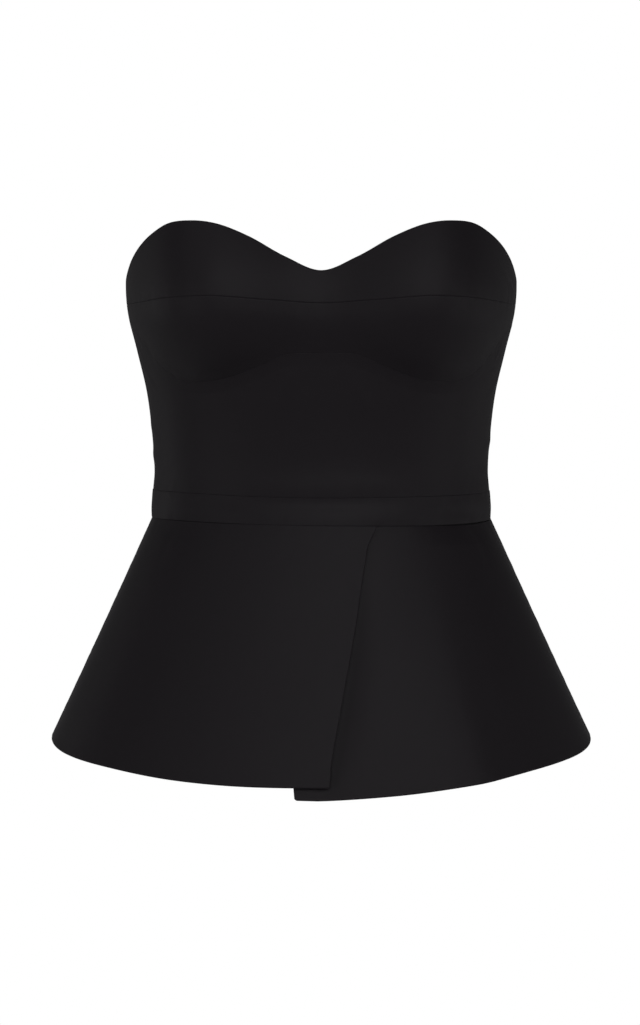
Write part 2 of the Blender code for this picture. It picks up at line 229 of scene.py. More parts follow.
creaseRadius = 0.13
creases = [
    # wearer's right side, under the arm and beside the cup
    (-73.5, 0.1195, -58, 0.013, 0.0011, 0.00050, 0),
    (-70.5, 0.1165, -52, 0.015, 0.0012, 0.00050, 4),
    (-76.5, 0.1130, -63, 0.012, 0.0011, 0.00040, 0),
    (-74.0, 0.0960, -40, 0.026, 0.0030, 0.00045, 3),
    (-80.0, 0.0560, -12, 0.034, 0.0040, 0.00050, 4),
    (-72.0, 0.0260, 10, 0.040, 0.0036, 0.00040, -3),
    (-86.0, 0.0360, -6, 0.046, 0.0050, 0.00060, 3),
    # wearer's left side
    (73.9, 0.1664, -27, 0.040, 0.0015, -0.00035, 0),
    (72.5, 0.1613, -27, 0.038, 0.0017, 0.00045, 0),
    (71.6, 0.1540, -49, 0.018, 0.0012, -0.00030, 0),
    (73.0, 0.1150, 55, 0.018, 0.0016, 0.00045, 3),
    (79.0, 0.0900, 36, 0.030, 0.0032, 0.00050, -3),
    (84.0, 0.0460, 8, 0.044, 0.0046, 0.00055, 3),
    (76.0, 0.0230, -9, 0.036, 0.0034, 0.00040, 3),
    # front: along the waistband, then where the midriff is drawn towards it and the cups
    (-5.0, 0.0045, 0, 0.170, 0.0060, -0.00100, 0),
    (-24.0, 0.0190, 5, 0.044, 0.0030, 0.00010, 2),
    (16.0, 0.0200, -4, 0.052, 0.0032, 0.00010, -2),
    (-12.0, 0.0860, 66, 0.030, 0.0042, 0.00025, 3),
    (13.0, 0.0820, -62, 0.028, 0.0040, 0.00025, -3),
    # small of the back
    (128.0, 0.0310, 7, 0.085, 0.0066, 0.00130, 2),
    (150.0, 0.0520, -5, 0.070, 0.0074, 0.00100, -3),
    (141.0, 0.0760, 9, 0.058, 0.0070, 0.00070, 2),
    (168.0, 0.0240, 4, 0.040, 0.0044, 0.00090, 3),
    (-133.0, 0.0360, -6, 0.078, 0.0068, 0.00120, 3),
    (-154.0, 0.0600, 5, 0.066, 0.0072, 0.00095, -2),
    (-146.0, 0.0860, -10, 0.050, 0.0066, 0.00060, 2),
    (-169.0, 0.0220, -4, 0.038, 0.0042, 0.00085, -3),
    # under the arms
    (101.0, 0.1180, 49, 0.046, 0.0040, 0.00085, 3),
    (110.0, 0.1010, 45, 0.052, 0.0046, 0.00075, -2),
    (121.0, 0.1120, 40, 0.036, 0.0040, 0.00045, 2),
    (-102.0, 0.1200, -51, 0.044, 0.0040, 0.00085, -3),
    (-112.0, 0.0990, -44, 0.054, 0.0048, 0.00070, 2),
    # beside the zip
    (176.8, 0.1080, 22, 0.022, 0.0030, 0.00040, 0),
    (176.4, 0.0760, 14, 0.026, 0.0034, 0.00050, 3),
    (-176.6, 0.0920, -18, 0.024, 0.0032, 0.00045, 0),
    (-176.2, 0.0500, -12, 0.028, 0.0036, 0.00055, -3),
    (177.0, -0.0360, 16, 0.024, 0.0034, 0.00040, 0),
    (-176.8, -0.0540, -20, 0.026, 0.0036, 0.00045, 0),
    (179.0, -0.0780, 88, 0.030, 0.0050, 0.00090, 0),
    # peplum: hollows along the waistband's lower seam, then gathers just under it
    (-44.0, -0.0115, 2, 0.084, 0.0080, -0.00150, 0),
    (58.0, -0.0115, -3, 0.094, 0.0085, -0.00280, 0),
    (-58.0, -0.0240, 84, 0.034, 0.0060, -0.00035, 0),
    (62.0, -0.0260, 95, 0.036, 0.0060, -0.00045, 0),
    (112.0, -0.0200, 96, 0.040, 0.0070, 0.00080, 0),
    (136.0, -0.0210, 92, 0.044, 0.0070, -0.00080, 0),
    (-109.0, -0.0200, 84, 0.042, 0.0070, 0.00075, 0),
    (-133.0, -0.0210, 88, 0.040, 0.0070, -0.00075, 0),
]

# How cloth is finished at its edges. A folded edge is round, a sewn one dips into its
# seam, a pressed or flush one hardly dips, and all have cloth turned in behind them.

edging = {
    "near": [0, 0.00012, 0.0003, 0.0006, 0.0010, 0.0016],  # rows of points beside every edge
    "spare": 1.08,  # where a piece is too short for its rows, they close up with this much room
    "square": 0.15,  # how much of a folded edge stays flat
    "sewn": {"width": 0.0007, "depth": 0.00030},
    "pressed": {"width": 0.0005, "depth": 0.00010},
    "flush": {"width": 0.0004, "depth": 0.00005},
    "step": 0.0005,  # the raw edge of the turning
    "overlocked": 0.005,  # the least turning that is overlocked
}
pucker = {
    "rise": 0.00007,
    "reach": 0.006,
    "waves": [(410, 1, 1), (263, 0.7, 2.1), (671, 0.5, 0.7)],  # pitch, share, turn of the seed
}
patternScale = 10  # pattern units in a metre of cloth


def stopsFrom(length, count, turning):  # places along a length, close at its edges and turnings
    near = np.array(edging["near"] + [turning - edging["step"], turning + edging["step"]])
    reach = near[-1] * edging["spare"]
    near = near[:, None] * np.minimum(1, 0.5 * length / reach)
    inner = near[-1]
    middle = inner + (length - 2 * inner) * np.linspace(0, 1, count)[1:-1, None]
    return np.concatenate([near, middle, length - near[::-1]])


def edgeRound(distance, kind, thick):  # how far an edge drops the cloth's outer and inner faces
    if kind == "folded":
        radius = thick / 2
        reach = np.clip(1 - distance / radius, 0, 1)
        drop = radius * (1 - edging["square"]) * (1 - np.sqrt(1 - reach**2))
        return drop, drop
    seam = edging[kind]
    reach = np.clip(1 - distance / seam["width"], 0, 1)
    return seam["depth"] * (1 - np.sqrt(1 - reach**2)), np.zeros_like(distance)


def creaseRise(angle, height, lines):  # soft ridges and troughs, each along its own short line
    rise = np.zeros_like(angle)
    for place, level, lean, length, width, lift, bow in lines:
        aside = np.radians((angle - place + 180) % 360 - 180) * creaseRadius
        up = height - level
        along = aside * cos(radians(lean)) + up * sin(radians(lean))
        across = up * cos(radians(lean)) - aside * sin(radians(lean)) + bow * along**2
        rise += lift * np.exp(-np.abs(2 * along / length) ** 3 - (across / width) ** 2)
    return rise


def puckerRise(along, distance, seed):  # the slight ripple that sewing leaves beside a seam
    wave = 0
    for pitch, share, turn in pucker["waves"]:
        wave = wave + share * np.sin(along * pitch + turn * seed)
    return pucker["rise"] * wave * np.exp(-((distance / pucker["reach"]) ** 2))


rawEdges = []


def keepRawEdges(piece, inner, normal):  # where the turnings end inside, for the overlocker
    near = len(edging["near"])
    for side in piece["edges"]:
        line, beside = (near, near + 1) if side in ("top", "left") else (-near - 1, -near - 2)
        faces, ups = inner, normal
        if side in ("left", "right"):
            faces, ups = inner.swapaxes(0, 1), normal.swapaxes(0, 1)
        rawEdges.append((faces[line, near:-near], faces[beside, near:-near], ups[line, near:-near]))


def roundCorner(piece, angle, height):  # rounds the free lower corner of a peplum front
    radius, side = piece["cornerRadius"], piece["freeEdge"]
    metres = radians(1) * hemRing["front"]
    edge = angle[:, :1] if side == "left" else angle[:, -1:]
    aside, up = np.abs(angle - edge) * metres, height - height[-1:]
    near = np.maximum(1 - np.stack([aside, up]) / radius, 0)
    reach = np.linalg.norm(near, axis=0)
    pull = radius * near * (1 - near.max(axis=0) / np.where(reach > 0, reach, 1))
    towards = 1 if side == "left" else -1
    return angle + towards * pull[0] / metres, height + pull[1]


def edgeAngle(edge, share):  # a piece ends at one angle, or along a free edge that leans
    return edge if np.isscalar(edge) else smoothCurve(edge["share"], edge["angle"], share)


def runAlong(points, axis):  # the length of cloth from a piece's first edge
    steps = np.diff(points, axis=axis, prepend=points.take([0], axis=axis))
    return np.cumsum(np.linalg.norm(steps, axis=-1), axis=axis)


# Each piece runs between two seam lines and two ends. thick is the whole thickness,
# cloth that of one layer inside the turnings, and width a guess that sets the columns.

def clothPlaces(piece):  # the angle, height and share of the way down of every point
    width, turning = piece["width"], piece["turning"]
    across = stopsFrom(np.array([width]), piece["columns"], turning)[:, 0] / width
    guess = np.linspace(edgeAngle(piece["start"], 0), edgeAngle(piece["end"], 0), len(across))
    length = heightOf(piece["top"], guess) - heightOf(piece["bottom"], guess)
    down = stopsFrom(length, piece["rows"], turning) / length
    start, end = edgeAngle(piece["start"], down), edgeAngle(piece["end"], down)
    angle = start + (end - start) * np.broadcast_to(across, down.shape)
    top, bottom = heightOf(piece["top"], angle), heightOf(piece["bottom"], angle)
    height = top + (bottom - top) * down
    if "freeEdge" in piece:
        angle, height = roundCorner(piece, angle, height)
    return angle, height, down


def clothMesh(faces, along):  # a grid of points outside and one inside, with UV along the cloth
    bm = bmesh.new()
    uv = bm.loops.layers.uv.new("cloth")
    rows, columns = faces[0].shape[:2]
    bmesh.ops.create_grid(bm, x_segments=columns - 1, y_segments=rows - 1, size=0.5, calc_uvs=True)
    made = bmesh.ops.extrude_face_region(bm, geom=bm.faces[:])
    inside = {part for part in made["geom"] if isinstance(part, bmesh.types.BMVert)}
    place = {}
    for vert in bm.verts:
        row = round((0.5 - vert.co.y) * (rows - 1))
        column = round((0.5 + vert.co.x) * (columns - 1))
        place[vert] = row, column
        vert.co = faces[vert in inside][row, column]
    for face in bm.faces:
        for loop in face.loops:
            loop[uv].uv = along[place[loop.vert]] * patternScale
    return bm


def wrapCloth(piece):
    surface, turning = piece["surface"], piece["turning"]
    angle, height, down = clothPlaces(piece)
    outer, normal = surface(angle, height), outward(surface, angle, height)
    if "standOff" in piece:
        level = unit(normal * [1, 1, 0])
        outer = outer + level * piece["standOff"](angle, down)[..., None]

    alongRow, alongColumn = runAlong(outer, 1), runAlong(outer, 0)
    distances = {
        "left": alongRow, "right": alongRow[:, -1:] - alongRow,
        "top": alongColumn, "bottom": alongColumn[-1:] - alongColumn,
    }
    rise = creaseRise(angle, height, creases + piece.get("ownCreases", []))
    outerDrop, innerDrop, turned = np.zeros((3, *angle.shape))
    for number, (side, kind) in enumerate(piece["edges"].items()):
        distance = distances[side]
        drops = edgeRound(distance, kind, piece["thick"])
        outerDrop, innerDrop = np.maximum(outerDrop, drops[0]), np.maximum(innerDrop, drops[1])
        turned = np.maximum(turned, ease((turning - distance) / edging["step"] / 2 + 0.5))
        if kind != "folded":
            along = alongRow if side in ("top", "bottom") else alongColumn
            rise = rise + puckerRise(along, distance, piece["seed"] + number)
    depth = piece["cloth"] + (piece["thick"] - piece["cloth"]) * turned - innerDrop
    outer = outer + normal * rise[..., None]
    faces = (outer - normal * outerDrop[..., None], outer - normal * depth[..., None])

    if turning > edging["overlocked"]:
        keepRawEdges(piece, faces[1], normal)
    finishPiece(piece, clothMesh(faces, np.stack([alongRow, alongColumn], axis=-1)))
    facing = np.cross(np.diff(outer, axis=1)[:-1], np.diff(outer, axis=0)[:, :-1])
    area = np.linalg.norm(facing, axis=-1).sum()
    print("cloth:", piece["name"], "wide", round(float(alongRow[:, -1].max()), 3),
          "long", round(float(alongColumn[-1].max()), 3), "area", round(float(area), 4))


def finishPiece(piece, bm):  # a mesh becomes a named piece on its body, in place of its node
    bmesh.ops.recalc_face_normals(bm, faces=bm.faces)
    if bm.calc_volume(signed=True) < 0:
        bmesh.ops.reverse_faces(bm, faces=bm.faces)
    mesh = bpy.data.meshes.new(piece["name"])
    bm.to_mesh(mesh)
    bm.free()
    mesh.shade_smooth()
    item = bpy.data.objects.new(piece["name"], mesh)
    bpy.context.scene.collection.objects.link(item)
    mesh.materials.append(piece["material"])
    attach(item, piece.get("body", clothBody))
    if "node" in piece:
        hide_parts(piece["node"])
    piece["object"] = item


# Shader node groups

def newGroup(name, inputs, outputs):
    group = bpy.data.node_groups.new(name, "ShaderNodeTree")
    for label, kind, value in inputs:
        socket = group.interface.new_socket(label, in_out="INPUT", socket_type=kind)
        if value is not None:
            socket.default_value = value
    for label, kind in outputs:
        group.interface.new_socket(label, in_out="OUTPUT", socket_type=kind)
    return group, group.nodes.new("NodeGroupInput"), group.nodes.new("NodeGroupOutput")


def addNode(tree, kind, settings=None, links=None):
    node = tree.nodes.new(kind)
    for key, value in (settings or {}).items():
        if isinstance(key, str) and hasattr(node, key):
            setattr(node, key, value)
        else:
            node.inputs[key].default_value = value
    for key, source in (links or {}).items():
        tree.links.new(source, node.inputs[key])
    return node


def makeCrepeGrain():  # pebbled crepe: a fine twisted-yarn grain, and slow cloudiness over it
    group, source, result = newGroup(
        "crepeGrain",
        [("Vector", "NodeSocketVector", None), ("Yarns", "NodeSocketFloat", 260.0)],
        [("Height", "NodeSocketFloat"), ("Cloud", "NodeSocketFloat")],
    )
    stretch = addNode(group, "ShaderNodeMapping", {"Scale": (1.0, 0.55, 1.0)},
                      {"Vector": source.outputs["Vector"]})
    pebble = addNode(group, "ShaderNodeTexNoise", {"Detail": 2.0, "Roughness": 0.6},
                     {"Vector": stretch.outputs[0], "Scale": source.outputs["Yarns"]})
    cloud = addNode(group, "ShaderNodeTexNoise", {"Scale": 1.1, "Detail": 3.0, "Roughness": 0.55},
                    {"Vector": source.outputs["Vector"]})
    group.links.new(pebble.outputs[0], result.inputs["Height"])
    group.links.new(cloud.outputs[0], result.inputs["Cloud"])
    return group


def makeWeave():  # ribs of a woven tape, crossed by its finer warp
    group, source, result = newGroup(
        "tapeWeave",
        [("Vector", "NodeSocketVector", None),
         ("Ribs", "NodeSocketFloat", 40.0),
         ("Warp", "NodeSocketFloat", 70.0)],
        [("Height", "NodeSocketFloat"), ("Yarn", "NodeSocketFloat")],
    )
    vector = source.outputs["Vector"]
    ribs = addNode(group, "ShaderNodeTexWave",
                   {"bands_direction": "Y", "Distortion": 0.6, "Detail": 1.0},
                   {"Vector": vector, "Scale": source.outputs["Ribs"]})
    warp = addNode(group, "ShaderNodeTexWave",
                   {"bands_direction": "X", "Distortion": 0.4, "Detail": 1.0},
                   {"Vector": vector, "Scale": source.outputs["Warp"]})
    cross = addNode(group, "ShaderNodeMath", {"operation": "MULTIPLY_ADD", 1: 0.45},
                    {0: warp.outputs["Fac"], 2: ribs.outputs["Fac"]})
    slub = addNode(group, "ShaderNodeTexNoise", {"Scale": 22.0, "Detail": 3.0}, {"Vector": vector})
    group.links.new(cross.outputs[0], result.inputs["Height"])
    group.links.new(slub.outputs[0], result.inputs["Yarn"])
    return group


def makeWear():  # faint scratches and cloudy rubbing, as a mask and a height
    group, source, result = newGroup(
        "rubbedSurface",
        [("Vector", "NodeSocketVector", None), ("Scale", "NodeSocketFloat", 220.0)],
        [("Rubbed", "NodeSocketFloat"), ("Scratch", "NodeSocketFloat")],
    )
    cloud = addNode(group, "ShaderNodeTexNoise", {"Detail": 4.0, "Roughness": 0.6},
                    {"Vector": source.outputs["Vector"], "Scale": source.outputs["Scale"]})
    rubbed = addNode(group, "ShaderNodeMapRange", {"From Min": 0.42, "From Max": 0.72},
                     {"Value": cloud.outputs[0]})
    drawn = addNode(group, "ShaderNodeMapping",
                    {"Scale": (1.0, 1.0, 0.06), "Rotation": (0.2, 0.5, 0.3)},
                    {"Vector": source.outputs["Vector"]})
    scratch = addNode(group, "ShaderNodeTexNoise",
                      {"Detail": 2.0, "Roughness": 0.7, "Scale": 3600.0},
                      {"Vector": drawn.outputs[0]})
    group.links.new(rubbed.outputs[0], result.inputs["Rubbed"])
    group.links.new(scratch.outputs[0], result.inputs["Scratch"])
    return group


def makeFinish(look, effect, vectorKind):  # a material whose look follows one effect group
    material = bpy.data.materials.new(look["name"])
    material.use_nodes = True
    tree = material.node_tree
    shader = tree.nodes["Principled BSDF"]
    if vectorKind == "uv":
        vector = addNode(tree, "ShaderNodeUVMap", {"uv_map": "cloth"}).outputs[0]
    else:
        vector = addNode(tree, "ShaderNodeTexCoord").outputs["Object"]
    group = addNode(tree, "ShaderNodeGroup", {"node_tree": effect, **look["effect"]},
                    {"Vector": vector})
    mask = group.outputs[look["mask"]]
    colour = addNode(tree, "ShaderNodeMix",
                     {"data_type": "RGBA", 6: look["dark"], 7: look["light"]}, {0: mask})
    rough = addNode(tree, "ShaderNodeMapRange",
                    {"To Min": look["rough"][0], "To Max": look["rough"][1]}, {"Value": mask})
    bump = addNode(tree, "ShaderNodeBump",
                   {"Strength": look["bump"], "Distance": look["bumpDepth"]},
                   {"Height": group.outputs[look["height"]]})
    tree.links.new(colour.outputs[2], shader.inputs["Base Color"])
    tree.links.new(rough.outputs[0], shader.inputs["Roughness"])
    tree.links.new(bump.outputs[0], shader.inputs["Normal"])
    for socket, value in look["fixed"].items():
        shader.inputs[socket].default_value = value
    return material


crepe = {
    "name": "blackCrepe",
    "effect": {"Yarns": 380.0}, "mask": "Cloud", "height": "Height",
    "dark": (0.0087, 0.0065, 0.0089, 1),
    "light": (0.0113, 0.0087, 0.0115, 1),
    "rough": (0.52, 0.60),
    "bump": 0.35,
    "bumpDepth": 0.00012,
    "fixed": {"Specular IOR Level": 0.20, "Sheen Weight": 0.03, "Sheen Roughness": 0.35},
}
tapeCloth = {
    "name": "wovenTape",
    "effect": {"Ribs": 40.0, "Warp": 70.0}, "mask": "Yarn", "height": "Height",
    "dark": (0.0070, 0.0068, 0.0074, 1),
    "light": (0.0150, 0.0145, 0.0156, 1),
    "rough": (0.60, 0.78),
    "bump": 0.6,
    "bumpDepth": 0.00012,
    "fixed": {"Specular IOR Level": 0.30, "Sheen Weight": 0.05, "Sheen Roughness": 0.40},
}
thread = {
    "name": "blackThread",
    "effect": {"Scale": 900.0}, "mask": "Rubbed", "height": "Scratch",
    "dark": (0.0085, 0.0080, 0.0088, 1),
    "light": (0.0180, 0.0172, 0.0184, 1),
    "rough": (0.38, 0.52),
    "bump": 0.3,
    "bumpDepth": 0.00005,
    "fixed": {"Specular IOR Level": 0.45},
}
nylon = {
    **thread, "name": "coilNylon",
    "effect": {"Scale": 500.0},
    "rough": (0.26, 0.40),
    "bump": 0.1,
    "fixed": {"Specular IOR Level": 0.50},
}
enamel = {
    "name": "blackEnamel",
    "effect": {"Scale": 260.0}, "mask": "Rubbed", "height": "Scratch",
    "dark": (0.0110, 0.0110, 0.0118, 1),
    "light": (0.0230, 0.0225, 0.0230, 1),
    "rough": (0.24, 0.42),
    "bump": 0.12,
    "bumpDepth": 0.00004,
    "fixed": {"Metallic": 0.6, "Coat Weight": 0.35, "Coat Roughness": 0.18},
}

rubbed = makeWear()
blackCrepe = makeFinish(crepe, makeCrepeGrain(), "uv")
wovenTape = makeFinish(tapeCloth, makeWeave(), "uv")
blackThread = makeFinish(thread, rubbed, "object")
coilNylon = makeFinish(nylon, rubbed, "object")
blackEnamel = makeFinish(enamel, rubbed, "object")
print("materials made")

# Bodice

bodiceCloth = {
    "surface": bodiceSurface, "thick": 0.0020, "cloth": 0.0012, "turning": 0.009,
    "material": blackCrepe, "slot": "crepe", "held": "stretched",
}

upperBust = {
    **bodiceCloth, "name": "upperBust", "node": "upper_bust", "seed": 1,
    "top": neckline, "bottom": cupSeam, "start": -sideSeam, "end": sideSeam,
    "columns": 320, "rows": 38, "width": 0.42,
    "edges": {"top": "folded", "bottom": "sewn", "left": "sewn", "right": "sewn"},
    "cut": (0.488, 0.062), "cutArea": 0.0184, "restsOn": ["lowerCups"],
}
lowerCups = {
    **bodiceCloth, "name": "lowerCups", "node": "lower_cups", "seed": 2,
    "top": cupSeam, "bottom": underbustSeam, "start": -sideSeam, "end": sideSeam,
    "columns": 310, "rows": 50, "width": 0.42,
    "edges": {"top": "sewn", "bottom": "pressed", "left": "sewn", "right": "sewn"},
    "cut": (0.472, 0.075), "cutArea": 0.0209, "restsOn": ["midriffPanel"],
}
midriff = {
    **bodiceCloth, "name": "midriffPanel", "node": "midriff", "seed": 3,
    "top": underbustSeam, "bottom": waistTop, "start": -sideSeam, "end": sideSeam,
    "columns": 280, "rows": 80, "width": 0.36,
    "edges": {"top": "pressed", "bottom": "pressed", "left": "sewn", "right": "sewn"},
    "cut": (0.426, 0.125), "cutArea": 0.0369, "restsOn": ["waistbandFront"],
}
bodiceBackLeft = {
    **bodiceCloth, "name": "bodiceBackLeft", "node": "bodice_back_left", "seed": 4,
    "top": neckline, "bottom": waistTop, "start": sideSeam, "end": centreBack,
    "columns": 120, "rows": 96, "width": 0.18,
    "edges": {"top": "folded", "bottom": "pressed", "left": "sewn", "right": "sewn"},
    "cut": (0.201, 0.153), "cutArea": 0.0262, "restsOn": ["waistbandBackLeft"],
}
bodiceBackRight = {
    **bodiceBackLeft, "name": "bodiceBackRight", "node": "bodice_back_right", "seed": 5,
    "start": -centreBack, "end": -sideSeam, "restsOn": ["waistbandBackRight"],
}

for piece in (upperBust, lowerCups, midriff, bodiceBackLeft, bodiceBackRight):
    wrapCloth(piece)
print("bodice made")

# Waistband

# Where the peplum fronts cross, the over panel stands off and the under one sinks,
# and the band comes out to meet the over panel.

lap = {"step": 0.0011, "lift": 0.0034, "ramp": 30.0}
band = {"rise": 0.0002, "crown": 0.0003, "meetEnd": 22.0, "meetFade": 12.0}


def overLap(angle):  # how far the over panel has risen on the under one
    return ease(1 + (angle - underEdge["angle"][0]) / lap["ramp"])


def bandStandOff(angle, down):
    meets = overLap(angle) * ease((band["meetEnd"] - angle) / band["meetFade"])
    crown = band["crown"] * np.sin(pi * down)
    return band["rise"] + crown + (lap["step"] - band["rise"]) * meets * down**2


bandCloth = {
    **bodiceCloth, "thick": 0.0024, "cloth": 0.0022, "turning": 0.004, "standOff": bandStandOff,
    "top": waistTop, "bottom": waistBottom, "rows": 10,
    "edges": {"top": "pressed", "bottom": "flush", "left": "sewn", "right": "sewn"},
}
waistbandFront = {
    **bandCloth, "name": "waistbandFront", "node": "waistband_front", "seed": 6,
    "start": -sideSeam, "end": sideSeam, "columns": 230, "width": 0.34,
    "cut": (0.356, 0.0205), "cutArea": 0.0072, "restsOn": ["peplumOver", "peplumUnder"],
}
waistbandBackLeft = {
    **bandCloth, "name": "waistbandBackLeft", "node": "waistband_back_left", "seed": 7,
    "start": sideSeam, "end": centreBack, "columns": 110, "width": 0.17,
    "cut": (0.172, 0.0205), "cutArea": 0.0035, "restsOn": ["peplumBackLeft"],
}
waistbandBackRight = {
    **waistbandBackLeft, "name": "waistbandBackRight", "node": "waistband_back_right", "seed": 8,
    "start": -centreBack, "end": -sideSeam, "restsOn": ["peplumBackRight"],
}

for piece in (waistbandFront, waistbandBackLeft, waistbandBackRight):
    wrapCloth(piece)
print("waistband made")

# Peplum


def overStandOff(angle, down):
    return overLap(angle) * (lap["step"] + lap["lift"] * down)


def underStandOff(angle, down):
    return -lap["step"] * ease(1 + (overEdge["angle"][0] - angle) / lap["ramp"])


peplumCloth = {
    **bodiceCloth, "surface": peplumSurface, "thick": 0.0016, "cloth": 0.0010, "turning": 0.014,
    "top": waistBottom, "bottom": hem, "rows": 80, "held": "hung",
}
peplumOver = {
    **peplumCloth, "name": "peplumOver", "node": "peplum_over", "seed": 9,
    "start": -sideSeam, "end": overEdge, "columns": 120, "width": 0.26, "standOff": overStandOff,
    "freeEdge": "right", "cornerRadius": 0.0016,
    "edges": {"top": "flush", "left": "sewn", "right": "folded", "bottom": "folded"},
    "cut": (0.330, 0.212), "cutArea": 0.0466, "restsOn": ["waistbandFront", "peplumUnder"],
}
peplumUnder = {
    **peplumCloth, "name": "peplumUnder", "node": "peplum_under", "seed": 10,
    "bottom": underHem, "start": underEdge, "end": sideSeam,
    "columns": 120, "width": 0.27, "standOff": underStandOff,
    "freeEdge": "left", "cornerRadius": 0.0034,
    # it falls away along the over panel's edge
    "ownCreases": [(6.4, -0.1240, 80.6, 0.150, 0.0095, -0.00260, 0)],
    "edges": {"top": "flush", "right": "sewn", "left": "folded", "bottom": "folded"},
    "cut": (0.345, 0.222), "cutArea": 0.0506, "restsOn": ["waistbandFront"],
}
peplumBackLeft = {
    **peplumCloth, "name": "peplumBackLeft", "node": "peplum_back_left", "seed": 11,
    "start": sideSeam, "end": centreBack, "columns": 100, "width": 0.24,
    "edges": {"top": "flush", "left": "sewn", "right": "sewn", "bottom": "folded"},
    "cut": (0.300, 0.205), "cutArea": 0.0398, "restsOn": ["waistbandBackLeft"],
}
peplumBackRight = {
    **peplumBackLeft, "name": "peplumBackRight", "node": "peplum_back_right", "seed": 12,
    "start": -centreBack, "end": -sideSeam, "restsOn": ["waistbandBackRight"],
}

for piece in (peplumOver, peplumUnder, peplumBackLeft, peplumBackRight):
    wrapCloth(piece)
print("peplum made")

# Zip at the centre back, whose tape and coil lie inside the seam

neckBack = neckline["height"][-1]
waistHalfWidth = bodiceRings["halfWidth"][0]
tape = {"halfWidth": 0.012, "top": neckBack - 0.004, "bottom": -0.070, "inside": 0.0023}
tapeTurn = degrees(asin(tape["halfWidth"] / waistHalfWidth))
zipTape = {
    "name": "zipTape", "node": "zip_tape", "slot": "zip_tape", "material": wovenTape,
    "surface": garmentSurface, "thick": 0.0008, "cloth": 0.0008, "turning": 0.0025,
    "top": {"angle": [0, 180], "height": [tape["top"]] * 2},
    "bottom": {"angle": [0, 180], "height": [tape["bottom"]] * 2},
    "start": centreBack - tapeTurn, "end": centreBack + tapeTurn,
    "rows": 120, "columns": 22, "width": 2 * tape["halfWidth"],
    "standOff": lambda angle, down: np.full(angle.shape, -tape["inside"]),
    "edges": {"left": "folded", "right": "folded", "top": "folded", "bottom": "folded"},
    "cut": (0.024, 0.216), "cutArea": 0.0051, "held": "stretched",
    "restsOn": ["bodiceBackLeft", "bodiceBackRight"],
}
wrapCloth(zipTape)


def tapePlace(aside, height, lift):  # points lifted off the tape's inner face, to the wearer
    angle = centreBack - np.degrees(np.arcsin(aside / waistHalfWidth))
    point = garmentSurface(angle, height)
    point[..., 1] -= tape["inside"] + zipTape["thick"] + lift
    return point


def meshOfLine(points, radius, sides):  # a round thread along a line of points, as a closed mesh
    curve = bpy.data.curves.new("line", "CURVE")
    curve.dimensions = "3D"
    curve.bevel_depth = radius
    curve.bevel_resolution = sides // 2 - 2
    curve.use_fill_caps = True
    spline = curve.splines.new("POLY")
    spline.points.add(len(points) - 1)
    spline.points.foreach_set("co", np.column_stack([points, np.ones(len(points))]).ravel())
    item = bpy.data.objects.new("line", curve)
    mesh = bpy.data.meshes.new_from_object(item)
    bpy.data.objects.remove(item)
    bpy.data.curves.remove(curve)
    return mesh


zipCoil = {
    "name": "zipCoil", "slot": "zip_tape", "material": coilNylon,
    "pitch": 0.0014, "wire": 0.00026, "wide": 0.0013, "high": 0.0006, "inner": 0.0008,
    "from": neckBack - 0.009, "to": -0.066, "steps": 10, "sides": 6,
}
bm = bmesh.new()
turns = int((zipCoil["from"] - zipCoil["to"]) / zipCoil["pitch"])
for side in (-1, 1):
    phase = np.arange(turns * zipCoil["steps"]) / zipCoil["steps"]
    level = zipCoil["from"] - zipCoil["pitch"] * (phase + side / 4)
    aside = side * (zipCoil["inner"] + zipCoil["wide"] * np.cos(2 * pi * phase))
    lift = zipCoil["wire"] + zipCoil["high"] * (1 + np.sin(2 * pi * phase))
    bm.from_mesh(meshOfLine(tapePlace(aside, level, lift), zipCoil["wire"], zipCoil["sides"]))
finishPiece(zipCoil, bm)

# Stitches are short threads, each laid across or along a line

stitching = {
    "name": "stitching", "slot": "crepe", "material": blackThread,
    "pitch": 0.0024, "length": 0.0042, "width": 0.00034, "height": 0.8 * 0.00034, "slant": 0.45,
    "past": 0.0008, "above": 0.0001,  # how far its middle lies past the raw edge and off the cloth
    "fewest": 3,  # a shorter side isn't overlocked
    "tapeLine": 0.0092, "tapePitch": 0.0030, "tapeLength": 0.0021, "tapeStart": 0.003,
}
bm = bmesh.new()
bmesh.ops.create_uvsphere(bm, u_segments=5, v_segments=4, radius=0.5)
oneStitch = bpy.data.meshes.new("oneStitch")
bm.to_mesh(oneStitch)
bm.free()


def layStitch(bm, middle, along, up, length):  # one stitch, its ends sinking into the cloth
    along = Vector(along).normalized()
    side = Vector(up).cross(along).normalized()
    turn = Matrix((side, along, side.cross(along))).transposed().to_4x4()
    size = Matrix.Diagonal((stitching["width"], length, stitching["height"], 1))
    copy = oneStitch.copy()
    copy.transform(Matrix.Translation(middle) @ turn @ size)
    bm.from_mesh(copy)
    bpy.data.meshes.remove(copy)


def evenPlaces(line, pitch):  # shares of rows at even steps along a line of points
    run = np.concatenate([[0], np.cumsum(np.linalg.norm(np.diff(line, axis=0), axis=1))])
    return np.interp(np.arange(pitch, run[-1] - pitch, pitch), run, np.arange(len(line)))


def rowsAt(line, places):
    low = np.floor(places).astype(int)
    part = (places - low)[:, None]
    return line[low] * (1 - part) + line[np.minimum(low + 1, len(line) - 1)] * part


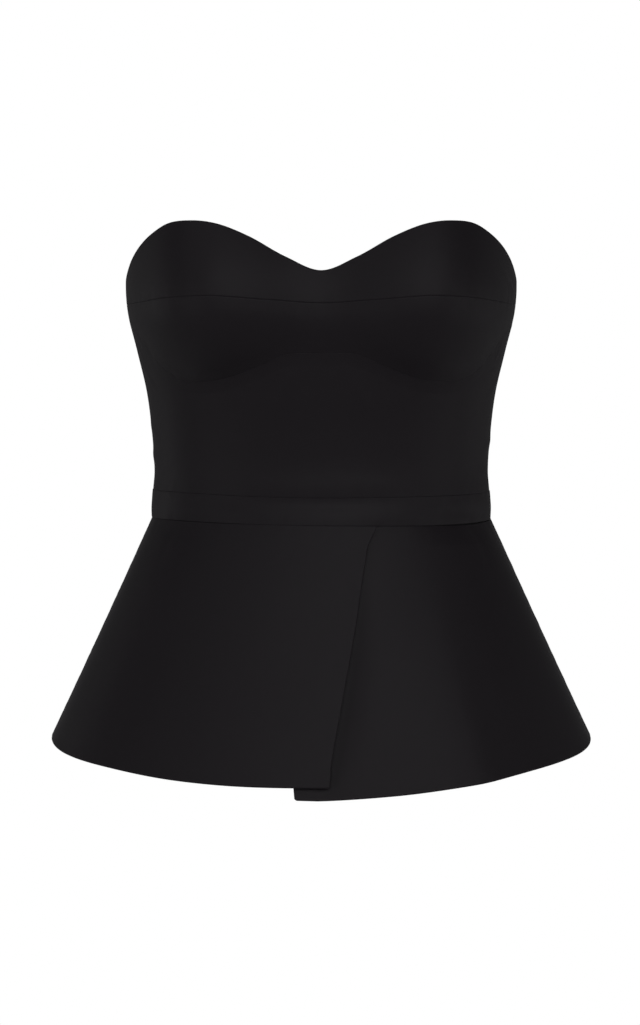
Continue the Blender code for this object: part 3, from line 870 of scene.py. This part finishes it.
bm = bmesh.new()
for raised, sunk, normal in rawEdges:
    places = evenPlaces(raised, stitching["pitch"])
    if len(places) < stitching["fewest"]:
        continue
    onTop, below, inward = rowsAt(raised, places), rowsAt(sunk, places), -rowsAt(normal, places)
    run = unit(np.gradient(onTop, axis=0))
    across = unit(onTop - below)
    for middle, way, aside, up in zip((onTop + below) / 2, run, across, inward):
        middle = middle + aside * stitching["past"] + up * stitching["above"]
        layStitch(bm, middle, aside + way * stitching["slant"], up, stitching["length"])
for aside in (-stitching["tapeLine"], stitching["tapeLine"]):
    lowest = tape["bottom"] + stitching["tapeStart"]
    level = np.arange(lowest, zipCoil["from"], stitching["tapePitch"])
    for middle in tapePlace(np.full(level.shape, aside), level, 0):
        layStitch(bm, middle, (0, 0, 1), (0, -1, 0), stitching["tapeLength"])
finishPiece(stitching, bm)
print("stitches:", len(stitching["object"].data.polygons))

# Slider and pull, modelled flat with the zip's line along Y, then stood against the back

standUp = Euler((pi / 2, 0, pi)).to_matrix().to_4x4()
sliderLevel = neckBack - 0.010
shadeTurn = 45  # sharper edges of the metal are shaded sharp


def roundEdges(bm, piece, segments):  # bevels the edges that turn by more than the piece's angle
    sharp = [edge for edge in bm.edges
             if edge.is_manifold and edge.calc_face_angle() > radians(piece["sharp"])]
    bmesh.ops.bevel(bm, geom=sharp, affect="EDGES", offset=piece["round"], segments=segments,
                    profile=0.5, material=-1)


def thicken(bm, thick):  # a flat sheet becomes a plate
    made = bmesh.ops.extrude_face_region(bm, geom=bm.faces[:])
    raised = [part for part in made["geom"] if isinstance(part, bmesh.types.BMVert)]
    bmesh.ops.translate(bm, vec=(0, 0, thick), verts=raised)
    bmesh.ops.recalc_face_normals(bm, faces=bm.faces)


zipSlider = {
    "name": "zipSlider", "node": "zip_slider", "slot": "zip_metal", "material": blackEnamel,
    "place": (0, 0.105422, sliderLevel),
    "width": 0.0064, "length": 0.0095, "depth": 0.0018, "waist": 0.0006,
    "corner": 0.55 * 0.0022, "round": 0.0005, "sharp": 60,
    "bridgeRadius": 0.0024, "bridgeThick": 0.0010, "bridgeWidth": 0.0014,
    "bridgeRoot": 0.0003, "bridgeSides": 12,
}


def makeSlider():
    bm = bmesh.new()
    bmesh.ops.create_grid(bm, x_segments=2, y_segments=8, size=0.5)
    for vert in bm.verts:
        waist = zipSlider["waist"] * cos(pi * vert.co.y) ** 2
        half = zipSlider["width"] / 2 - waist
        vert.co = (2 * vert.co.x * half, vert.co.y * zipSlider["length"], 0)
    corners = [vert for vert in bm.verts if len(vert.link_edges) == 2]
    bmesh.ops.bevel(bm, geom=corners, affect="VERTICES", offset=zipSlider["corner"], segments=5,
                    profile=0.5, material=-1)
    thicken(bm, zipSlider["depth"])
    roundEdges(bm, zipSlider, 4)
    # the bridge, half a ring that stands on the slider
    sides, root = zipSlider["bridgeSides"], zipSlider["depth"] - zipSlider["bridgeRoot"]
    section = bmesh.ops.create_circle(bm, cap_ends=True, segments=sides, radius=0.5)["verts"]
    bmesh.ops.scale(bm, vec=(zipSlider["bridgeWidth"], zipSlider["bridgeThick"], 1), verts=section)
    bmesh.ops.translate(bm, vec=(0, zipSlider["bridgeRadius"], root), verts=section)
    face = next(face for face in section[0].link_faces if len(face.verts) == sides)
    bmesh.ops.spin(bm, geom=[face, *face.edges, *face.verts], cent=(0, 0, root),
                   axis=(1, 0, 0), angle=pi, steps=16, use_duplicate=False)
    return bm


zipPull = {
    "name": "zipPull", "node": "zip_pull", "body": "zip_pull",
    "slot": "zip_metal", "material": blackEnamel,
    "place": (0, 0.108222, sliderLevel),
    "length": 0.020, "neck": 0.0050, "width": 0.0062, "thick": 0.0009, "bar": 0.0010,
    "eyeWidth": 0.0026, "eyeShare": 0.45, "eyeLength": 0.0040, "round": 0.00025, "sharp": 50,
    "rows": 8, "steps": 10, "endTurn": 85,
}


def makePull():
    bar, end = zipPull["bar"] / 2, zipPull["width"] / 2
    centre = end - zipPull["length"]
    eyeEnd = -bar - zipPull["eyeLength"]
    steps = zipPull["steps"]
    turns = [radians(zipPull["endTurn"]) * step / steps for step in range(1, steps + 1)]
    levels = [bar, -bar, eyeEnd, *np.linspace(eyeEnd, centre, zipPull["rows"])[1:]]
    levels += [centre - end * sin(turn) for turn in turns]
    bm = bmesh.new()
    bmesh.ops.create_grid(bm, x_segments=3, y_segments=len(levels) - 1, size=0.5)
    for vert in bm.verts:
        level = levels[round((0.5 - vert.co.y) * (len(levels) - 1))]
        if level > centre:
            wider = (zipPull["width"] - zipPull["neck"]) * float(ease(level / centre))
            half = (zipPull["neck"] + wider) / 2
        else:
            half = max(end**2 - (centre - level) ** 2, 0) ** 0.5
        inner = min(zipPull["eyeWidth"] / 2, zipPull["eyeShare"] * half)
        column = round((vert.co.x + 0.5) * 3)
        vert.co = ((-half, -inner, inner, half)[column], level, -zipPull["thick"] / 2)
    middles = {face: face.calc_center_median() for face in bm.faces}
    eye = [face for face, spot in middles.items() if abs(spot.x) < 1e-5 and eyeEnd < spot.y < -bar]
    bmesh.ops.delete(bm, geom=eye, context="FACES")
    thicken(bm, zipPull["thick"])
    roundEdges(bm, zipPull, 3)
    return bm


for piece, make in ((zipSlider, makeSlider), (zipPull, makePull)):
    bm = make()
    bmesh.ops.transform(bm, matrix=Matrix.Translation(piece["place"]) @ standUp, verts=bm.verts)
    finishPiece(piece, bm)
    piece["object"].data.set_sharp_from_angle(angle=radians(shadeTurn))
print("zip made")

# Studio

studio = {
    "floorHeight": -1.6,
    "floorSize": 30.0,
    "floorColour": (0.93, 0.93, 0.93, 1),
    "floorRoughness": 0.9,
    "bounce": 0.25,  # how much of the floor's glow reaches the garment from below
    "ambient": 0.10,
    "boxSize": 1.0,
    "boxDistance": 2.6,
    "softboxes": [
        # name, degrees round from the front, degrees up, watts
        ("frontKey", 0, 15, 10.3),
        ("rightKey", 25, 15, 8.0),
        ("leftFill", -50, -8, 7.0),
        ("rightFill", 66, -8, 6.5),
        ("leftHigh", -50, 40, 5.0),
        ("leftRim", -110, -2, 3.6),
        ("rightRim", 110, -8, 2.3),
        ("backKey", 180, 32, 25.0),
    ],
}


def makeStudio():
    bm = bmesh.new()
    bmesh.ops.create_grid(bm, x_segments=1, y_segments=1, size=studio["floorSize"] / 2)
    bmesh.ops.translate(bm, vec=(0, 0, studio["floorHeight"]), verts=bm.verts)
    mesh = bpy.data.meshes.new("floor")
    bm.to_mesh(mesh)
    bm.free()
    floor = bpy.data.objects.new("floor", mesh)
    bpy.context.scene.collection.objects.link(floor)
    material = bpy.data.materials.new("paleFloor")
    material.use_nodes = True
    tree = material.node_tree
    shader = tree.nodes["Principled BSDF"]
    shader.inputs["Roughness"].default_value = studio["floorRoughness"]
    glow = addNode(tree, "ShaderNodeEmission", {"Strength": 1.0})
    seen = addNode(tree, "ShaderNodeLightPath")
    pale = studio["floorColour"]
    dim = [shade * studio["bounce"] for shade in pale[:3]] + [1]
    colour = addNode(tree, "ShaderNodeMix", {"data_type": "RGBA", 6: pale, 7: dim},
                     {0: seen.outputs["Is Diffuse Ray"]})
    tree.links.new(colour.outputs[2], shader.inputs["Base Color"])
    mix = addNode(tree, "ShaderNodeMixShader", None,
                  {0: seen.outputs["Is Camera Ray"], 1: shader.outputs[0], 2: glow.outputs[0]})
    tree.links.new(mix.outputs[0], tree.nodes["Material Output"].inputs["Surface"])
    mesh.materials.append(material)

    world = bpy.data.worlds.new("studioWorld")
    bpy.context.scene.world = world
    world.use_nodes = True
    tree = world.node_tree
    background = tree.nodes["Background"]
    background.inputs["Color"].default_value = (1, 1, 1, 1)
    seen = addNode(tree, "ShaderNodeLightPath")
    strength = addNode(tree, "ShaderNodeMapRange", {"To Min": studio["ambient"], "To Max": 1.0},
                       {"Value": seen.outputs["Is Camera Ray"]})
    tree.links.new(strength.outputs[0], background.inputs["Strength"])

    for name, turn, up, watts in studio["softboxes"]:
        light = bpy.data.lights.new(name, "AREA")
        light.size = studio["boxSize"]
        light.energy = watts
        lamp = bpy.data.objects.new(name, light)
        bpy.context.scene.collection.objects.link(lamp)
        turn, up = radians(turn), radians(up)
        place = Vector((sin(turn) * cos(up), -cos(turn) * cos(up), sin(up))) * studio["boxDistance"]
        lamp.location = place
        lamp.rotation_euler = (-place).to_track_quat("-Z", "Y").to_euler()


camera = {
    "pitch": 3.5, "distance": 3.0, "viewHeight": 0.7585, "sensor": 24.0,
    "aim": (-0.0009, 0, -0.0068),
}


def makeCamera():
    data = bpy.data.cameras.new("photoCamera")
    data.sensor_fit = "VERTICAL"
    data.sensor_height = camera["sensor"]
    data.lens = camera["sensor"] * camera["distance"] / camera["viewHeight"]
    item = bpy.data.objects.new("photoCamera", data)
    bpy.context.scene.collection.objects.link(item)
    pitch = radians(camera["pitch"])
    back = camera["distance"] * Vector((0, -cos(pitch), sin(pitch)))
    item.location = Vector(camera["aim"]) + back
    item.rotation_euler = (pi / 2 - pitch, 0, 0)
    bpy.context.scene.camera = item


makeStudio()
makeCamera()
bpy.context.scene.view_settings.view_transform = "Standard"
print("studio made")
